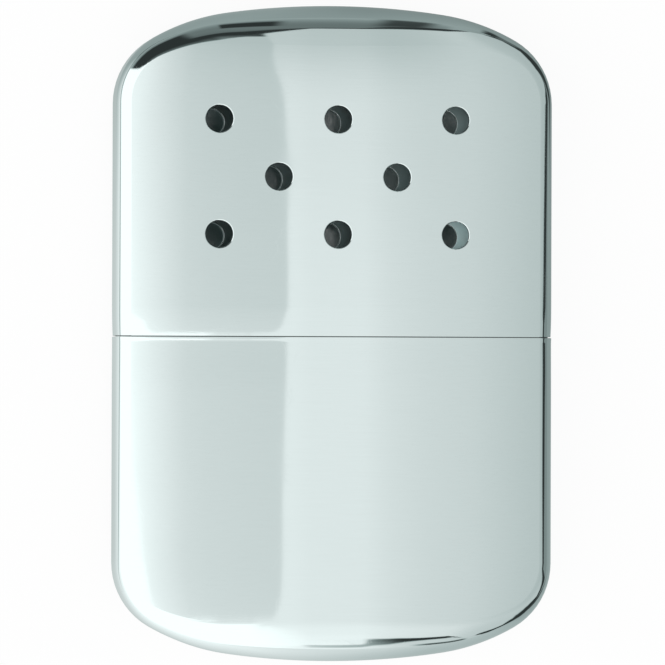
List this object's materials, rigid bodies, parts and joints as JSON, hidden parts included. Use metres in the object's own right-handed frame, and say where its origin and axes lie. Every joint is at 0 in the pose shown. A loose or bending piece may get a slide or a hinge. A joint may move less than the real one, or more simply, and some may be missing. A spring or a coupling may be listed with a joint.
{
  "type": "catalytic hand warmer",
  "caption": "Flat rounded metal hand warmer: a fuel tank with wadding and a filler neck, a slotted catalyst burner over the neck, and a vented lid that slides over the tank's collar.",
  "frame": {"origin": "middle of the length and width, on the flat strip of the back face that the object lies on", "axes": "+X across the width, +Y along the length from the tank's closed end to the lid's closed end, +Z out of the front face"},
  "size_m": [0.0662, 0.099, 0.015],
  "materials": {
    "shell_chrome": "polished",
    "cover_chrome": "polished",
    "burner_chrome": "polished",
    "neck_steel": "satin",
    "screen_steel": "satin",
    "retainer_steel": "satin",
    "mesh_steel": "satin",
    "grille_steel": "satin",
    "solder": "satin",
    "felt": "matte",
    "wadding": "matte",
    "catalyst_fibre": "matte"
  },
  "bodies": {
    "tank": {"tank_shell": "shell_chrome", "tank_cover": "cover_chrome", "tank_seam_solder": "solder", "filler_neck": "neck_steel", "fuel_screen": "screen_steel", "neck_felt": "felt", "wadding_upper": "wadding", "wadding_middle": "wadding", "wadding_lower": "wadding"},
    "burner": {"burner_body": "burner_chrome", "burner_retainer": "retainer_steel", "pad_support_mesh": "mesh_steel", "catalyst_pad": "catalyst_fibre", "burner_grille": "grille_steel"},
    "lid": {"lid_shell": "shell_chrome"}
  },
  "joints": [
    {"name": "lid_pull", "type": "slide", "parent": "tank", "child": "lid", "axis": [0, 1, 0], "range_m": [0, 0.03]},
    {"name": "burner_pull", "type": "slide", "parent": "tank", "child": "burner", "axis": [0, 1, 0], "range_m": [0, 0.012]}
  ]
}
